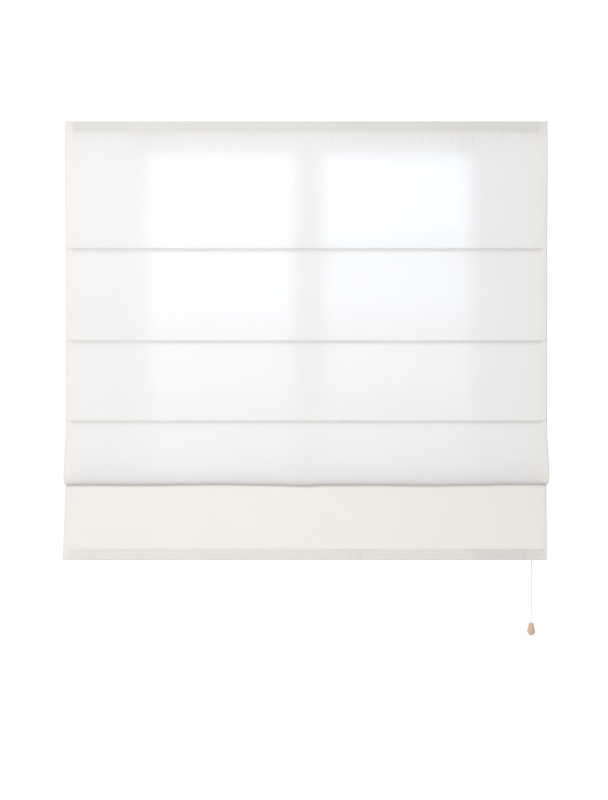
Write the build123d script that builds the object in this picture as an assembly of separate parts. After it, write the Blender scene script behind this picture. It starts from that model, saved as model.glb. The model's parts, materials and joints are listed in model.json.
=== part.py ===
from build123d import *
import os
from math import atan2, cos, degrees, hypot, radians, sin

# Roman blind, millimetres. +Z is up, the front faces -Y, and the wall is the plane y = 0.
# The origin is the centre of the four wall screw holes.

# ---- driving dimensions: the cloth ----
BLIND_WIDTH = 1200.0
TOP_TO_ROD_1 = 320.0  # down from the cloth's top edge
ROD_1_TO_2 = 230.0
ROD_2_TO_3 = 200.0
ROD_3_TO_4 = 123.0  # with the last fold gathered, as the blind hangs partly raised
FOLD_BELOW_ROD_3 = 153.0
ROD_4_TO_HEM = 217.0
FOLD_THROW = 34.0  # how far the gathered fold stands forward
FOLD_GAP = 2.4  # the fold's back leg hangs this far in front of the bottom stretch
HEM_THROW = 20.0  # how far the hem swings forward
CLOTH = 0.8
SIDE_HEM = 20.0  # a doubled edge, twice as thick

# ---- driving dimensions: the headrail ----
RAIL_SHORT_OF_CLOTH = 5.0  # at each end
RAIL_DEPTH = 34.0
RAIL_HEIGHT = 26.0  # up to the upper lips
RISER = 4.0  # the front wall stands this much above the lips and hides the brackets
RAIL_WALL = 1.6
RAIL_WEB_TOP = 18.0
RAIL_TO_WALL = 4.0
UPPER_LIP = 5.0
LOWER_LIP = 6.0
CAP_THICK = 2.0
SPIGOT = 10.0
TAPE_HEIGHT = 20.0
TAPE_SHORT_OF_HEMS = 5.0  # at each end
TAPE_THICK = 1.2

# ---- driving dimensions: brackets and screws ----
BRACKET_SPACING = 800.0
BRACKET_WIDTH = 30.0
BRACKET_STEEL = 2.0
SCREW_SPACING_Z = 14.0
SCREW_HOLE_D = 4.5
SCREW_EDGE = 8.0
RAIL_ABOVE_ORIGIN = 16.0
LEVER_SHANK_D = 5.0
LEVER_PLATE = 1.5
CAM_THICK = 2.2
CAM_REACH = 2.6  # under each upper lip
CAM_WIDTH = 10.0
HANDLE_LENGTH = 13.5
HANDLE_WIDTH = 7.0

# ---- driving dimensions: rods, rings and the bottom bar ----
ROD_D = 4.0
ROD_SHORT_OF_POCKET = 6.0  # at each end
ROD_TIP_WALL = 0.3
ROD_TIP_END = 1.0
ROD_TIP_LENGTH = 8.0
ROD_EASE = 0.2  # around a rod's tips in its pocket
POCKET_CLOTH = 0.6
POCKET_SHORT_OF_CLOTH = 14.0  # at each end
POCKET_NECK = 1.2  # half the height of the seam that joins a pocket to the cloth
RING_WIRE = 2.0
RING_HOLE = 9.0
BAR_HEIGHT = 22.0
BAR_THICK = 3.0
BAR_SHORT_OF_CLOTH = 25.0  # at each end
BAR_POCKET_SHORT_OF_CLOTH = 12.0
BAR_CAP_WALL = 0.45
BAR_CAP_LENGTH = 12.0

# ---- driving dimensions: cords and their gear ----
LIFT_CORD_D = 1.2
PULL_CORD_D = 1.8
RINGS_FROM_EDGE = 120.0  # the outer columns of rings, in from the cloth's edges
PULL_FROM_EDGE = 37.0
CORD_BEND = 5.0  # centreline radius over every roller
GUIDE_PIN_D = 2.0
LOCK_PIN_D = 3.0
ROLLER_WIDTH = 3.0
FLANGE_D = 12.0
PASSING_LANE = 4.0  # how far a cord passes beside a roller that is not its own
LOCK_LANE = 3.0
CONDENSER_LANE = 1.6
LOCK_WIDTH = 12.4  # between the lock's cheeks
CHEEK = 1.5
GUIDE_CHEEK = 1.0
GRIP_D = 5.2
GRIP_TRUNNION_D = 2.4
GRIP_TRAVEL = 3.0
GRIP_ANGLE = 60.0  # the slot's slope above the horizontal
ORB_D = 11.6
ORB_HEIGHT = 9.0
CONDENSER_D = 10.8
CONDENSER_TOP_Z = -130.0
CONDENSER_CAP = 12.0
CONDENSER_BODY = 18.0
CONDENSER_WALL = 1.0
KNOT_R = 1.8  # under the rings
LIFT_KNOT_R = 3.2
PULL_KNOT_R = 2.2
ACORN_KNOT_R = 2.8
ACORN_SEAT = 15.0  # from the acorn's top down to its knot
ACORN_D = 20.0
ACORN_HEIGHT = 30.5
ACORN_NECK_D = 11.5
ACORN_BELOW_TOP = 1252.0  # the acorn's top, below the cloth's top edge

# ---- clearances ----
RUNNING = 0.05  # radial, pin in bore
PRESSED = 0.02  # radial, fixed pins and pushed-on tips
LOOSE = 0.3
SLIDING = 0.2
SEATED = 0.1  # a knot under its seat

# ---- sizes and places that follow ----
RAIL_LENGTH = BLIND_WIDTH - 2 * RAIL_SHORT_OF_CLOTH
CAM_LENGTH = RAIL_DEPTH - 2 * RAIL_WALL - 2 * UPPER_LIP + 2 * CAM_REACH
POCKET_BORE = ROD_D + 2 * (ROD_TIP_WALL + ROD_EASE)
POCKET_LENGTH = BLIND_WIDTH - 2 * POCKET_SHORT_OF_CLOTH
ROD_LENGTH = POCKET_LENGTH - 2 * ROD_SHORT_OF_POCKET
BAR_LENGTH = BLIND_WIDTH - 2 * BAR_SHORT_OF_CLOTH
CORD_SPACING = BLIND_WIDTH / 2 - RINGS_FROM_EDGE
PULL_X = BLIND_WIDTH / 2 - PULL_FROM_EDGE
RAIL_Z = RAIL_ABOVE_ORIGIN
LIP_Z = RAIL_Z + RAIL_HEIGHT
TOP_Z = LIP_Z + RISER
RAIL_BACK = -RAIL_TO_WALL
RAIL_FRONT = RAIL_BACK - RAIL_DEPTH
CORD_Y = (RAIL_BACK + RAIL_FRONT) / 2
BRACKET_X = BRACKET_SPACING / 2
HEAD_CLOTH_Y = RAIL_FRONT - 2 * TAPE_THICK - CLOTH / 2
RING_R = RING_HOLE / 2 + RING_WIRE / 2
POCKET_R = POCKET_BORE / 2 + POCKET_CLOTH
ROD_Y = CORD_Y - RING_R - RING_WIRE / 2 - SLIDING - POCKET_R
CLOTH_Y = ROD_Y - POCKET_R - CLOTH / 2 + 0.2
SEAM = POCKET_R + 0.4  # each stretch of cloth starts this far above its rod
ROD_Z = [TOP_Z - TOP_TO_ROD_1]
ROD_Z += [ROD_Z[0] - ROD_1_TO_2]
ROD_Z += [ROD_Z[1] - ROD_2_TO_3]
ROD_Z += [ROD_Z[2] - ROD_3_TO_4]
HEM_Z = ROD_Z[3] - ROD_4_TO_HEM
CORD_X = [-CORD_SPACING, 0.0, CORD_SPACING]
CORD_RUN_Z = RAIL_Z + 14.9
ROLLER_Z = CORD_RUN_Z - CORD_BEND
LOCK_X = PULL_X - CORD_BEND
CHAMBER_FRONT = RAIL_FRONT + RAIL_WALL + SLIDING
CHAMBER_BACK = RAIL_BACK - RAIL_WALL - SLIDING
FLOOR_Z = RAIL_Z + RAIL_WALL  # the lower lips carry the cord gear
GEAR_BASE = 2.0
ACORN_TOP_Z = TOP_Z - ACORN_BELOW_TOP
CONDENSER_END_Z = CONDENSER_TOP_Z - CONDENSER_CAP - CONDENSER_BODY


def box(x, y, z):
    """A box from three (low, high) pairs."""
    size = [high - low for low, high in (x, y, z)]
    middle = [(high + low) / 2 for low, high in (x, y, z)]
    return Pos(*middle) * Box(*size)


def across(x, y, z, radius, width):
    """A cylinder along Y, centred at the point given."""
    return Pos(x, y, z) * Rot(X=90) * Cylinder(radius, width)


def upright(x, y, low, high, radius):
    """A cylinder along Z."""
    return Pos(x, y, (low + high) / 2) * Cylinder(radius, high - low)


def strip(y, z):
    """A rectangle in the (Y, Z) section plane, from two (low, high) pairs."""
    return Pos(sum(y) / 2, sum(z) / 2) * Rectangle(abs(y[1] - y[0]), abs(z[1] - z[0]))


def along_x(section, low, high):
    """A (Y, Z) section extruded between two places along X."""
    return extrude(Plane.YZ.offset(low) * section, amount=high - low)


def turned(points, x, y, z):
    """A solid of revolution about the vertical, from its (radius, height) outline."""
    outline = Plane.XZ * make_face(Polyline(*points, close=True))
    return Pos(x, y, z) * revolve(outline, Axis.Z)


def solids(*shapes):
    """Several separate solids held in one node."""
    return Compound(children=[s for shape in shapes for s in shape.solids()])


# ---- cloth ----
def cloth_stretch(line):
    """One stretch of cloth from its centreline in (Y, Z), with both doubled side hems."""
    half = BLIND_WIDTH / 2
    sheet = along_x(trace(line, CLOTH), -half, half)
    for low, high in ((-half, SIDE_HEM - half), (half - SIDE_HEM, half)):
        sheet += along_x(trace(line, 2 * CLOTH), low, high)
    return sheet


def rod_pocket(z):
    """The sewn sleeve at the back of the cloth that holds a rod."""
    section = Pos(ROD_Y, z) * (Circle(POCKET_R) - Circle(POCKET_BORE / 2))
    neck = (CLOTH_Y, ROD_Y - POCKET_BORE / 2 - SLIDING)
    section += strip(neck, (z - POCKET_NECK, z + POCKET_NECK))
    return along_x(section, -POCKET_LENGTH / 2, POCKET_LENGTH / 2)


def top_cloth():
    """Hangs from the loop tape and leans back to the plane of the rods."""
    line = FilletPolyline(
        (HEAD_CLOTH_Y, TOP_Z),
        (HEAD_CLOTH_Y, RAIL_Z - 8),
        (CLOTH_Y, ROD_Z[0] + SEAM + 15),
        (CLOTH_Y, ROD_Z[0] + SEAM),
        radius=60,
    )
    return cloth_stretch(line)


def flat_cloth(upper, lower):
    """Between two rods, with the upper rod's pocket."""
    line = Line((CLOTH_Y, ROD_Z[upper] + SEAM), (CLOTH_Y, ROD_Z[lower] + SEAM))
    return cloth_stretch(line) + rod_pocket(ROD_Z[upper])


def fold_cloth():
    """From rod 3 forward and down, round the soft fold, and up behind it to rod 4."""
    bottom = ROD_Z[2] - FOLD_BELOW_ROD_3 + CLOTH / 2
    front = CLOTH_Y - FOLD_THROW
    back = CLOTH_Y - FOLD_GAP
    line = FilletPolyline(
        (CLOTH_Y, ROD_Z[2] + SEAM),
        (CLOTH_Y, ROD_Z[2] - SEAM),
        (front, bottom),
        (back, bottom),
        (back, ROD_Z[3] + 1.0),
        radius=[60, FOLD_THROW * 0.38, FOLD_THROW * 0.38],
    )
    return cloth_stretch(line) + rod_pocket(ROD_Z[2])


def hem_slope():
    """The lean of the lowest cloth, in radians from the vertical, and where it starts."""
    start = ROD_Z[2] - FOLD_BELOW_ROD_3 - 20
    return atan2(HEM_THROW, start - HEM_Z), start


def at_hem(offset, up):
    """A (Y, Z) place behind the leaning cloth's centreline and up from the hem."""
    lean, _ = hem_slope()
    y = CLOTH_Y - HEM_THROW + offset * cos(lean) + up * sin(lean)
    return Pos(y, HEM_Z + up * cos(lean) - offset * sin(lean)) * Rot(Z=-degrees(lean))


BAR_POCKET_DEPTH = BAR_THICK + 1.4
BAR_POCKET_HEIGHT = BAR_HEIGHT + 3.8
BAR_OFFSET = CLOTH / 2 + BAR_POCKET_DEPTH / 2
BAR_UP = POCKET_CLOTH + BAR_CAP_WALL + LOOSE + BAR_HEIGHT / 2
POCKET_UP = POCKET_CLOTH + BAR_POCKET_HEIGHT / 2


def bottom_cloth():
    """Turns over rod 4, hangs behind the fold, and leans forward to the bar pocket."""
    _, start = hem_slope()
    turn = FOLD_GAP / 2
    over = ROD_Z[3] + 1.0 + turn
    line = FilletPolyline(
        (CLOTH_Y - FOLD_GAP, ROD_Z[3] + 1.0),
        (CLOTH_Y - FOLD_GAP, over + 0.01),
        (CLOTH_Y, over + 0.01),
        (CLOTH_Y, start),
        (CLOTH_Y - HEM_THROW, HEM_Z),
        radius=[turn * 0.99, turn * 0.99, 150],
    )
    wall = 2 * POCKET_CLOTH
    sleeve = Rectangle(BAR_POCKET_DEPTH + wall, BAR_POCKET_HEIGHT + wall)
    sleeve -= Rectangle(BAR_POCKET_DEPTH, BAR_POCKET_HEIGHT)
    reach = BLIND_WIDTH / 2 - BAR_POCKET_SHORT_OF_CLOTH
    pocket = along_x(at_hem(BAR_OFFSET, POCKET_UP) * sleeve, -reach, reach)
    return cloth_stretch(line) + rod_pocket(ROD_Z[3]) + pocket


# ---- rods, tips, rings and the bar ----
def rod(z):
    return along_x(Pos(ROD_Y, z) * Circle(ROD_D / 2), -ROD_LENGTH / 2, ROD_LENGTH / 2)


def rod_tips(z):
    """A cap pushed over each end of a rod."""
    outer = Circle(ROD_D / 2 + ROD_TIP_WALL)
    inside = ROD_LENGTH / 2 - ROD_TIP_LENGTH + ROD_TIP_END
    tips = []
    for side in (-1, 1):
        low, high = sorted((side * inside, side * (ROD_LENGTH / 2 + ROD_TIP_END)))
        hole_low, hole_high = sorted((side * inside, side * ROD_LENGTH / 2))
        tip = along_x(Pos(ROD_Y, z) * outer, low, high)
        tips.append(tip - along_x(Pos(ROD_Y, z) * Circle(ROD_D / 2 + PRESSED), hole_low, hole_high))
    return solids(*tips)


def rings(z):
    return solids(*[Pos(x, CORD_Y, z) * Torus(RING_R, RING_WIRE / 2) for x in CORD_X])


def bottom_bar():
    section = at_hem(BAR_OFFSET, BAR_UP) * RectangleRounded(BAR_THICK, BAR_HEIGHT, 0.8)
    return along_x(section, -BAR_LENGTH / 2, BAR_LENGTH / 2)


def bar_cap(side):
    """A sleeve with a closed end over one end of the bar."""
    outer = RectangleRounded(BAR_THICK + 2 * BAR_CAP_WALL, BAR_HEIGHT + 2 * BAR_CAP_WALL, 1.2)
    inner = RectangleRounded(BAR_THICK + 0.06, BAR_HEIGHT + 0.06, 0.8)
    end = side * BAR_LENGTH / 2
    inside = end - side * (BAR_CAP_LENGTH - CAP_THICK)
    place = at_hem(BAR_OFFSET, BAR_UP)
    cap = along_x(place * outer, *sorted((inside, end + side * CAP_THICK)))
    return cap - along_x(place * inner, *sorted((inside, end)))


# ---- headrail ----
def rail_section():
    """Two chambers: the upper one takes the bracket cams, the lower one the cord gear."""
    web = (RAIL_Z + RAIL_WEB_TOP - RAIL_WALL, RAIL_Z + RAIL_WEB_TOP)
    front_in = RAIL_FRONT + RAIL_WALL
    back_in = RAIL_BACK - RAIL_WALL
    section = strip((RAIL_FRONT, front_in), (RAIL_Z, TOP_Z))
    section += strip((back_in, RAIL_BACK), (RAIL_Z, LIP_Z))
    section += strip((RAIL_FRONT, RAIL_BACK), web)
    for low, reach in ((RAIL_Z, LOWER_LIP), (LIP_Z - RAIL_WALL, UPPER_LIP)):
        height = (low, low + RAIL_WALL)
        section += strip((RAIL_FRONT, front_in + reach), height)
        section += strip((back_in - reach, RAIL_BACK), height)
    return section


def headrail():
    return along_x(rail_section(), -RAIL_LENGTH / 2, RAIL_LENGTH / 2)


def rail_end_cap(side):
    """Closes the rail's end, with a spigot in the lower chamber."""
    end = side * RAIL_LENGTH / 2
    plate = strip((RAIL_FRONT, RAIL_BACK), (RAIL_Z, LIP_Z))
    plate += strip((RAIL_FRONT, RAIL_FRONT + RAIL_WALL), (RAIL_Z, TOP_Z))
    cap = along_x(plate, *sorted((end, end + side * CAP_THICK)))
    chamber_top = RAIL_Z + RAIL_WEB_TOP - RAIL_WALL - SLIDING
    spigot = strip((CHAMBER_FRONT, CHAMBER_BACK), (FLOOR_Z + SLIDING, chamber_top))
    hollow = strip((CHAMBER_FRONT + 2, CHAMBER_BACK - 2), (FLOOR_Z + SLIDING + 2, chamber_top - 2))
    return cap + along_x(spigot - hollow, *sorted((end, end - side * SPIGOT)))


def tape(front):
    """Hook or loop tape on the rail's face, between the cloth's side hems."""
    high = TOP_Z - 0.5
    half = BLIND_WIDTH / 2 - SIDE_HEM - TAPE_SHORT_OF_HEMS
    return along_x(strip((front, front + TAPE_THICK), (high - TAPE_HEIGHT, high)), -half, half)


# ---- brackets and their levers ----
LEG_Z = LIP_Z + SLIDING
CAM_TOP = LIP_Z - RAIL_WALL - LOOSE


def bracket(x):
    """A steel angle: screwed to the wall below, and lying over the rail above."""
    wide = (x - BRACKET_WIDTH / 2, x + BRACKET_WIDTH / 2)
    top = LEG_Z + BRACKET_STEEL
    reach = RAIL_FRONT + RAIL_WALL + 2 * SLIDING
    part = box(wide, (-BRACKET_STEEL, 0), (-SCREW_SPACING_Z / 2 - SCREW_EDGE, top))
    part += box(wide, (reach, 0), (LEG_Z, top))
    for z in (-SCREW_SPACING_Z / 2, SCREW_SPACING_Z / 2):
        part -= across(x, -BRACKET_STEEL / 2, z, SCREW_HOLE_D / 2, 2 * BRACKET_STEEL)
    return part - upright(x, CORD_Y, LEG_Z - 1, top + 1, LEVER_SHANK_D / 2 + RUNNING)


def locking_lever(x):
    """Handle, shank and cam riveted as one: the cam grips under both upper lips."""
    handle_z = LEG_Z + BRACKET_STEEL + SLIDING
    handle = Plane.XY.offset(handle_z) * Pos(x + HANDLE_LENGTH / 2 - HANDLE_WIDTH / 4, CORD_Y)
    part = extrude(handle * SlotOverall(HANDLE_LENGTH + HANDLE_WIDTH / 2, HANDLE_WIDTH), amount=LEVER_PLATE)
    cam = Plane.XY.offset(CAM_TOP - CAM_THICK) * Pos(x, CORD_Y)
    part += extrude(cam * RectangleRounded(CAM_WIDTH, CAM_LENGTH, 2), amount=CAM_THICK)
    return part + upright(x, CORD_Y, CAM_TOP - CAM_THICK, handle_z + LEVER_PLATE, LEVER_SHANK_D / 2)


# ---- cord gear in the rail ----
def cord_guide(x):
    """A base on the lower lips with two cheeks that carry a roller's pin."""
    centre = x + CORD_BEND
    inner = ROLLER_WIDTH / 2 + SLIDING
    base_top = FLOOR_Z + GEAR_BASE
    part = box((centre - 13, centre + 13), (CHAMBER_FRONT, CHAMBER_BACK), (FLOOR_Z, base_top))
    for side in (-1, 1):
        y = sorted((CORD_Y + side * inner, CORD_Y + side * (inner + GUIDE_CHEEK)))
        part += box((centre - 5, centre + 5), y, (base_top, ROLLER_Z + 2.6))
    part -= box((centre - 7, centre + 7), (CORD_Y - inner, CORD_Y + inner), (FLOOR_Z, base_top))
    return part - across(centre, CORD_Y, ROLLER_Z, GUIDE_PIN_D / 2 + PRESSED, 4 * ROLLER_WIDTH)


def guide_pin(x):
    long = ROLLER_WIDTH + 2 * (SLIDING + GUIDE_CHEEK)
    return across(x + CORD_BEND, CORD_Y, ROLLER_Z, GUIDE_PIN_D / 2, long)


def roller(x, width, flange, bore_d):
    """A grooved roller on a pin along Y."""
    groove_r = CORD_BEND - LIFT_CORD_D / 2 - PRESSED
    outline = [
        (bore_d / 2 + RUNNING, -width / 2),
        (FLANGE_D / 2 - 0.2, -width / 2),
        (FLANGE_D / 2 - 0.2, flange - width / 2),
        (groove_r, flange + 0.3 - width / 2),
        (groove_r, width / 2 - flange - 0.3),
        (FLANGE_D / 2 - 0.2, width / 2 - flange),
        (FLANGE_D / 2 - 0.2, width / 2),
        (bore_d / 2 + RUNNING, width / 2),
    ]
    wheel = revolve(Plane.XZ * make_face(Polyline(*outline, close=True)), Axis.Z)
    return Pos(x + CORD_BEND, CORD_Y, ROLLER_Z) * Rot(X=90) * wheel


GRIP_X = PULL_X + LIFT_CORD_D / 2 + LOOSE + GRIP_D / 2
GRIP_Z = ROLLER_Z - 1.5
GRIP_STEP = (GRIP_TRAVEL * cos(radians(GRIP_ANGLE)), GRIP_TRAVEL * sin(radians(GRIP_ANGLE)))
CHEEK_OUT = LOCK_WIDTH / 2 + CHEEK


def cord_lock_housing():
    """A base with two cheeks, a pin hole for the pulley and slanted slots for the grip roller."""
    base_top = FLOOR_Z + GEAR_BASE
    low, high = LOCK_X - 9, PULL_X + 13
    part = box((low, high), (CHAMBER_FRONT, CHAMBER_BACK), (FLOOR_Z, base_top))
    for side in (-1, 1):
        y = sorted((CORD_Y + side * LOCK_WIDTH / 2, CORD_Y + side * CHEEK_OUT))
        part += box((low, high), y, (base_top, RAIL_Z + RAIL_WEB_TOP - RAIL_WALL - SLIDING))
    part -= box((LOCK_X - 7, PULL_X + 1.2), (CORD_Y - 6, CORD_Y + 6), (FLOOR_Z, base_top))
    part -= across(LOCK_X, CORD_Y, ROLLER_Z, LOCK_PIN_D / 2 + PRESSED, 3 * LOCK_WIDTH)
    slot_length = GRIP_TRAVEL + GRIP_TRUNNION_D + 4 * RUNNING
    slot = Rot(Z=GRIP_ANGLE) * SlotOverall(slot_length, GRIP_TRUNNION_D + 4 * RUNNING)
    middle = (GRIP_X + GRIP_STEP[0] / 2, GRIP_Z + GRIP_STEP[1] / 2)
    section = Plane.XZ.offset(-CORD_Y - 1.5 * LOCK_WIDTH) * Pos(*middle) * slot
    return part - extrude(section, amount=3 * LOCK_WIDTH)


def lock_pin():
    return across(LOCK_X, CORD_Y, ROLLER_Z, LOCK_PIN_D / 2, 2 * CHEEK_OUT)


def grip_roller():
    """A fluted brass roller that rides down its slots and pinches the cords."""
    long = LOCK_WIDTH - 2 * SLIDING
    barrel = across(GRIP_X, CORD_Y, GRIP_Z, GRIP_D / 2, long)
    flutes = 12
    for i in range(flutes):
        turn = radians(360 / flutes * i)
        x, z = GRIP_X + GRIP_D / 2 * cos(turn), GRIP_Z + GRIP_D / 2 * sin(turn)
        barrel -= across(x, CORD_Y, z, 0.25, long)
    return barrel + across(GRIP_X, CORD_Y, GRIP_Z, GRIP_TRUNNION_D / 2, 2 * CHEEK_OUT)


# ---- cords ----
ORB_TOP = ROD_Z[3] - RING_WIRE / 2 - SLIDING
ORB_SEAT = 4.0  # the depth of the counterbore for the knot
ORB_SHOULDER = ORB_TOP - ORB_HEIGHT + ORB_SEAT


def lift_cord(x, lane):
    """Up from its knot, over its own roller, along the rail, over the lock and down."""
    lock_y = CORD_Y + lane * LOCK_LANE
    end_y = CORD_Y + lane * CONDENSER_LANE
    points = [(x, CORD_Y, ORB_SHOULDER - SEATED), (x, CORD_Y, CORD_RUN_Z)]
    bends = [CORD_BEND]
    if lane:
        pass_y = CORD_Y + lane * PASSING_LANE
        points += [(x + 25, CORD_Y, CORD_RUN_Z), (x + 85, pass_y, CORD_RUN_Z)]
        points += [(CORD_X[2] + 35, pass_y, CORD_RUN_Z)]
        bends += [100, 100, 40]
        points += [(LOCK_X - 12, lock_y, CORD_RUN_Z)]
        bends += [20]
    points += [(PULL_X, lock_y, CORD_RUN_Z)]
    bends += [CORD_BEND]
    if lane:
        points += [(PULL_X, lock_y, RAIL_Z - 6), (PULL_X, end_y, CONDENSER_TOP_Z + 12)]
        bends += [60, 60]
    points += [(PULL_X, end_y, CONDENSER_TOP_Z - 6.0)]
    path = FilletPolyline(*points, radius=bends)
    print("lift cord", x, "length", round(path.length, 1), "bend radii", bends)
    pen = Plane(origin=path @ 0, z_dir=path % 0) * Circle(LIFT_CORD_D / 2)
    tube = sweep(pen, path)
    print("  volume over section times length", round(tube.volume / (pen.area * path.length), 4))
    return tube


def cord_orbs():
    """Safety stops under the lowest rings, each with a counterbore for its cord's knot."""
    r, bore = ORB_D / 2, LIFT_CORD_D / 2 + LOOSE
    low = -ORB_HEIGHT
    outline = [
        (bore, 0), (r - 1.5, 0), (r, -2), (r, low + 2.5), (r - 2, low),
        (KNOT_R + LOOSE, low), (KNOT_R + LOOSE, low + ORB_SEAT), (bore, low + ORB_SEAT),
    ]
    return solids(*[turned(outline, x, CORD_Y, ORB_TOP) for x in CORD_X])


def knot(x, y, top, radius):
    """A tight overhand knot, as a ball flattened where it seats."""
    ball = Pos(x, y, top - radius) * Sphere(radius)
    return ball & Pos(x, y, top - radius - 0.15) * Box(3 * radius, 3 * radius, 2 * radius)


def orb_knots():
    return solids(*[knot(x, CORD_Y, ORB_SHOULDER - SEATED, KNOT_R) for x in CORD_X])


def condenser_cap():
    """The upper half: the three lift cords enter here and are knotted inside."""
    r, mouth = CONDENSER_D / 2, CONDENSER_LANE + LIFT_CORD_D / 2 + LOOSE
    low = -CONDENSER_CAP
    outline = [
        (mouth, 0), (r - 1.8, 0), (r, -4), (r, low), (r - CONDENSER_WALL, low),
        (r - CONDENSER_WALL, -5.5), (mouth, -5.5),
    ]
    return turned(outline, PULL_X, CORD_Y, CONDENSER_TOP_Z)


def condenser_body():
    """The lower half: its spigot enters the cap and the pull cord leaves its tip."""
    r, bore = CONDENSER_D / 2, PULL_CORD_D / 2 + LOOSE
    inner = r - CONDENSER_WALL - SLIDING / 2
    low = -CONDENSER_BODY
    outline = [
        (inner - 0.9, 5), (inner, 5), (inner, 0), (r, 0), (r, -6), (bore + 1.2, low),
        (bore, low), (bore, -8), (inner - 0.9, -6),
    ]
    return turned(outline, PULL_X, CORD_Y, CONDENSER_TOP_Z - CONDENSER_CAP)


def condenser_knots():
    """The lift cords' common knot and the pull cord's own, inside the condenser."""
    top = CONDENSER_TOP_Z - 6.1
    lower = CONDENSER_TOP_Z - CONDENSER_CAP - 4.9
    return solids(knot(PULL_X, CORD_Y, top, LIFT_KNOT_R), knot(PULL_X, CORD_Y, lower + 3.9, PULL_KNOT_R))


# The pull cord hangs from the condenser to the acorn with a slight sway.
PULL_SWAY = [(0.0, 0.0), (0.0, -260.0), (1.2, -520.0), (0.6, -780.0), (1.6, -935.0)]


def pull_cord():
    top = CONDENSER_END_Z + 8.8
    sway = [(PULL_X + x, CORD_Y, top + z) for x, z in PULL_SWAY]
    points = sway + [(PULL_X, CORD_Y, ACORN_TOP_Z + 12), (PULL_X, CORD_Y, ACORN_TOP_Z - ACORN_SEAT)]
    bends = [4000.0, 4000.0, 4000.0, 800.0, 400.0]
    path = FilletPolyline(*points, radius=bends)
    print("pull cord length", round(path.length, 1), "bend radii", bends)
    pen = Plane(origin=path @ 0, z_dir=path % 0) * Circle(PULL_CORD_D / 2)
    return sweep(pen, path)


def acorn():
    """A turned wooden pull with a through hole and a counterbore for the knot."""
    neck, r, bore = ACORN_NECK_D / 2, ACORN_D / 2, PULL_CORD_D / 2 + 0.35
    profile = Spline(
        (neck - 0.8, 0),
        (neck + 0.6, -3),
        (r - 2.2, -12),
        (r, -20.5),
        (r - 2.6, -27.5),
        (4.6, -ACORN_HEIGHT),
    )
    edge = Polyline(
        (4.6, -ACORN_HEIGHT),
        (3.2, -ACORN_HEIGHT),
        (3.2, -ACORN_SEAT),
        (bore, -ACORN_SEAT),
        (bore, 0),
        (neck - 0.8, 0),
    )
    body = revolve(Plane.XZ * make_face([profile, edge]), Axis.Z)
    return Pos(PULL_X, CORD_Y, ACORN_TOP_Z) * body


def acorn_knot():
    return knot(PULL_X, CORD_Y, ACORN_TOP_Z - ACORN_SEAT - SEATED, ACORN_KNOT_R)


def pieces():
    """Every node of the blind by name."""
    found = {
        "headrail": headrail(),
        "rail_end_cap_left": rail_end_cap(-1),
        "rail_end_cap_right": rail_end_cap(1),
        "hook_tape": tape(RAIL_FRONT - TAPE_THICK),
        "loop_tape": tape(RAIL_FRONT - 2 * TAPE_THICK),
        "cord_lock_housing": cord_lock_housing(),
        "cord_lock_pin": lock_pin(),
        "cord_lock_pulley": roller(LOCK_X - CORD_BEND, LOCK_WIDTH - 2 * SLIDING, 1.0, LOCK_PIN_D),
        "cord_lock_grip_roller": grip_roller(),
        "fabric_top_stretch": top_cloth(),
        "fabric_second_stretch": flat_cloth(0, 1),
        "fabric_third_stretch": flat_cloth(1, 2),
        "fabric_fold_stretch": fold_cloth(),
        "fabric_bottom_stretch": bottom_cloth(),
        "bottom_bar": bottom_bar(),
        "bottom_bar_cap_left": bar_cap(-1),
        "bottom_bar_cap_right": bar_cap(1),
        "cord_orbs": cord_orbs(),
        "cord_orb_knots": orb_knots(),
        "condenser_cap": condenser_cap(),
        "condenser_body": condenser_body(),
        "condenser_knots": condenser_knots(),
        "pull_cord": pull_cord(),
        "pull_acorn": acorn(),
        "pull_acorn_knot": acorn_knot(),
    }
    for side, x in (("left", -BRACKET_X), ("right", BRACKET_X)):
        found[f"bracket_{side}"] = bracket(x)
        found[f"locking_lever_{side}"] = locking_lever(x)
    for name, x, lane in zip(("left", "middle", "right"), CORD_X, (-1, 1, 0)):
        found[f"cord_guide_{name}"] = cord_guide(x)
        found[f"guide_pin_{name}"] = guide_pin(x)
        found[f"guide_roller_{name}"] = roller(x, ROLLER_WIDTH, 0.4, GUIDE_PIN_D)
        found[f"lift_cord_{name}"] = lift_cord(x, lane)
    for number, z in enumerate(ROD_Z, 1):
        found[f"rod_{number}"] = rod(z)
        found[f"rod_{number}_tips"] = rod_tips(z)
        found[f"rod_{number}_rings"] = rings(z)
    return found


os.makedirs("parts", exist_ok=True)
for name, part in pieces().items():
    export_step(part, f"parts/{name}.step")
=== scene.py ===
import json
import math

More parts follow.
